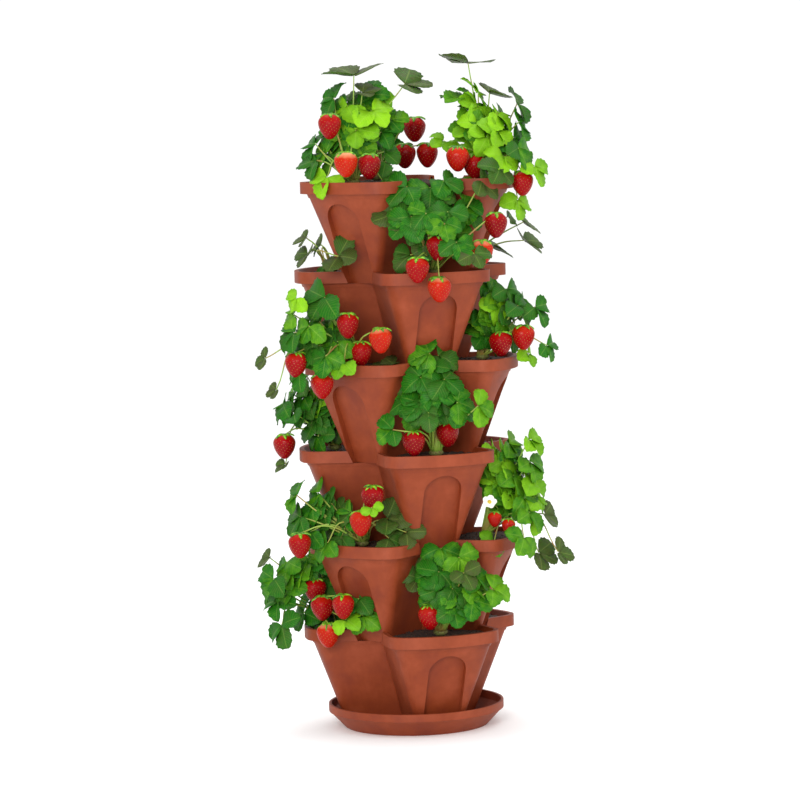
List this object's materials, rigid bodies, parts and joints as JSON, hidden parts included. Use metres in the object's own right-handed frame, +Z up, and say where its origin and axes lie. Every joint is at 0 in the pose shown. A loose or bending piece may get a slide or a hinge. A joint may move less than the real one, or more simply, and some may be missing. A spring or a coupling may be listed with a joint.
{
  "type": "vertical planter tower",
  "caption": "Stacking planter tower of three-lobed terracotta plastic pots turned about on a round saucer, filled with potting mix and planted with fruiting strawberries.",
  "frame": {"origin": "centre of the saucer's underside", "axes": "+Z up through the stack, -Y towards the front pocket of the bottom tier, +X to its right"},
  "size_m": [0.42, 0.3592, 0.9307],
  "materials": {
    "terracotta_pot": "matte",
    "terracotta_saucer": "matte",
    "potting_mix": "crumbly",
    "foliage": "satin",
    "strawberry": "gloss",
    "petals": "satin"
  },
  "bodies": {
    "saucer": {"saucer": "terracotta_saucer"},
    "tier_6": {"pot_tier_6": "terracotta_pot", "potting_mix_tier_6": "potting_mix", "strawberries_tier_6_front": "strawberry", "strawberries_tier_6_left": "strawberry", "strawberry_plant_tier_6_front": "foliage", "strawberry_plant_tier_6_left": "foliage"},
    "tier_5": {"pot_tier_5": "terracotta_pot", "potting_mix_tier_5": "potting_mix", "blossom_tier_5_right": "petals", "strawberries_tier_5_left": "strawberry", "strawberries_tier_5_right": "strawberry", "strawberry_plant_tier_5_left": "foliage", "strawberry_plant_tier_5_rear": "foliage", "strawberry_plant_tier_5_right": "foliage"},
    "tier_4": {"pot_tier_4": "terracotta_pot", "potting_mix_tier_4": "potting_mix", "strawberries_tier_4_front": "strawberry", "strawberries_tier_4_left": "strawberry", "strawberry_plant_tier_4_front": "foliage", "strawberry_plant_tier_4_left": "foliage"},
    "tier_3": {"pot_tier_3": "terracotta_pot", "potting_mix_tier_3": "potting_mix", "strawberries_tier_3_left": "strawberry", "strawberries_tier_3_right": "strawberry", "strawberry_plant_tier_3_left": "foliage", "strawberry_plant_tier_3_rear": "foliage", "strawberry_plant_tier_3_right": "foliage"},
    "tier_2": {"pot_tier_2": "terracotta_pot", "potting_mix_tier_2": "potting_mix", "strawberries_tier_2_front": "strawberry", "strawberry_plant_tier_2_front": "foliage", "strawberry_plant_tier_2_left": "foliage", "strawberry_plant_tier_2_right": "foliage"},
    "tier_1": {"pot_tier_1": "terracotta_pot", "potting_mix_tier_1": "potting_mix", "strawberries_tier_1_left": "strawberry", "strawberries_tier_1_rear": "strawberry", "strawberries_tier_1_right": "strawberry", "strawberry_plant_tier_1_left": "foliage", "strawberry_plant_tier_1_rear": "foliage", "strawberry_plant_tier_1_right": "foliage"}
  },
  "joints": [
    {"name": "lift_tier_6", "type": "slide", "parent": "saucer", "child": "tier_6", "axis": [0, 0, 1], "range_m": [0, 0.16]},
    {"name": "lift_tier_5", "type": "slide", "parent": "tier_6", "child": "tier_5", "axis": [0, 0, 1], "range_m": [0, 0.16]},
    {"name": "lift_tier_4", "type": "slide", "parent": "tier_5", "child": "tier_4", "axis": [0, 0, 1], "range_m": [0, 0.16]},
    {"name": "lift_tier_3", "type": "slide", "parent": "tier_4", "child": "tier_3", "axis": [0, 0, 1], "range_m": [0, 0.16]},
    {"name": "lift_tier_2", "type": "slide", "parent": "tier_3", "child": "tier_2", "axis": [0, 0, 1], "range_m": [0, 0.16]},
    {"name": "lift_tier_1", "type": "slide", "parent": "tier_2", "child": "tier_1", "axis": [0, 0, 1], "range_m": [0, 0.16]}
  ]
}
